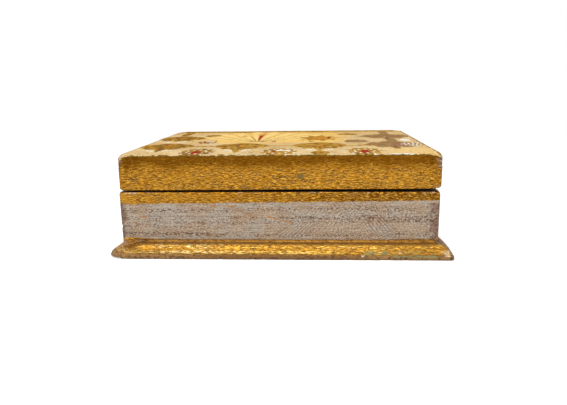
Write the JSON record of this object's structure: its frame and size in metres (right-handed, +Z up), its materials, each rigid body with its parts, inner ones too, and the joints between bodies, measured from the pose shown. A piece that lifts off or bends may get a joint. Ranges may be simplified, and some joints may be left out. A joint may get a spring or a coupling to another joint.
{
  "type": "florentine box",
  "caption": "Low gilded and silvered wooden table box with a moulded foot and a painted lid that swings up on small butt hinges at the back.",
  "frame": {"origin": "on the table, under the middle of the box's footprint", "axes": "+X to the right along the front, +Y to the back where the hinges are, +Z up"},
  "size_m": [0.2184, 0.1784, 0.0649],
  "materials": {
    "painted_panel": "cream gesso with gilded and painted ornament",
    "gilt_wood": "aged gold leaf over gesso",
    "silvered_wood": "toned silver band with gold borders",
    "gilt_moulding": "burnished gold leaf, worn at the lip",
    "bare_wood": "bare aged softwood",
    "felt": "red felt",
    "nail_iron": "dark iron",
    "hinge_brass": "aged brass"
  },
  "bodies": {
    "case": {"case_front_board": "silvered_wood", "case_back_board": "silvered_wood", "case_left_board": "silvered_wood", "case_right_board": "silvered_wood", "plinth_front": "gilt_moulding", "plinth_back": "gilt_moulding", "plinth_left": "gilt_moulding", "plinth_right": "gilt_moulding", "bottom_board": "bare_wood", "floor_lining": "felt", "bottom_nail_1": "nail_iron", "bottom_nail_2": "nail_iron", "bottom_nail_3": "nail_iron", "bottom_nail_4": "nail_iron", "bottom_nail_5": "nail_iron", "bottom_nail_6": "nail_iron", "bottom_nail_7": "nail_iron", "bottom_nail_8": "nail_iron", "hinge_left_case_leaf": "hinge_brass", "hinge_right_case_leaf": "hinge_brass", "hinge_left_pin": "hinge_brass", "hinge_right_pin": "hinge_brass", "hinge_left_case_screw_1": "hinge_brass", "hinge_left_case_screw_2": "hinge_brass", "hinge_right_case_screw_1": "hinge_brass", "hinge_right_case_screw_2": "hinge_brass"},
    "lid": {"lid_panel": "painted_panel", "lid_front_rail": "gilt_wood", "lid_back_rail": "gilt_wood", "lid_left_rail": "gilt_wood", "lid_right_rail": "gilt_wood", "hinge_left_lid_leaf": "hinge_brass", "hinge_right_lid_leaf": "hinge_brass", "hinge_left_lid_screw_1": "hinge_brass", "hinge_left_lid_screw_2": "hinge_brass", "hinge_right_lid_screw_1": "hinge_brass", "hinge_right_lid_screw_2": "hinge_brass"}
  },
  "joints": [
    {"name": "lid_hinge", "type": "hinge", "parent": "case", "child": "lid", "pos_m": [0, 0.07927, 0.0418], "axis": [-1, 0, 0], "range_deg": [0, 105]}
  ]
}
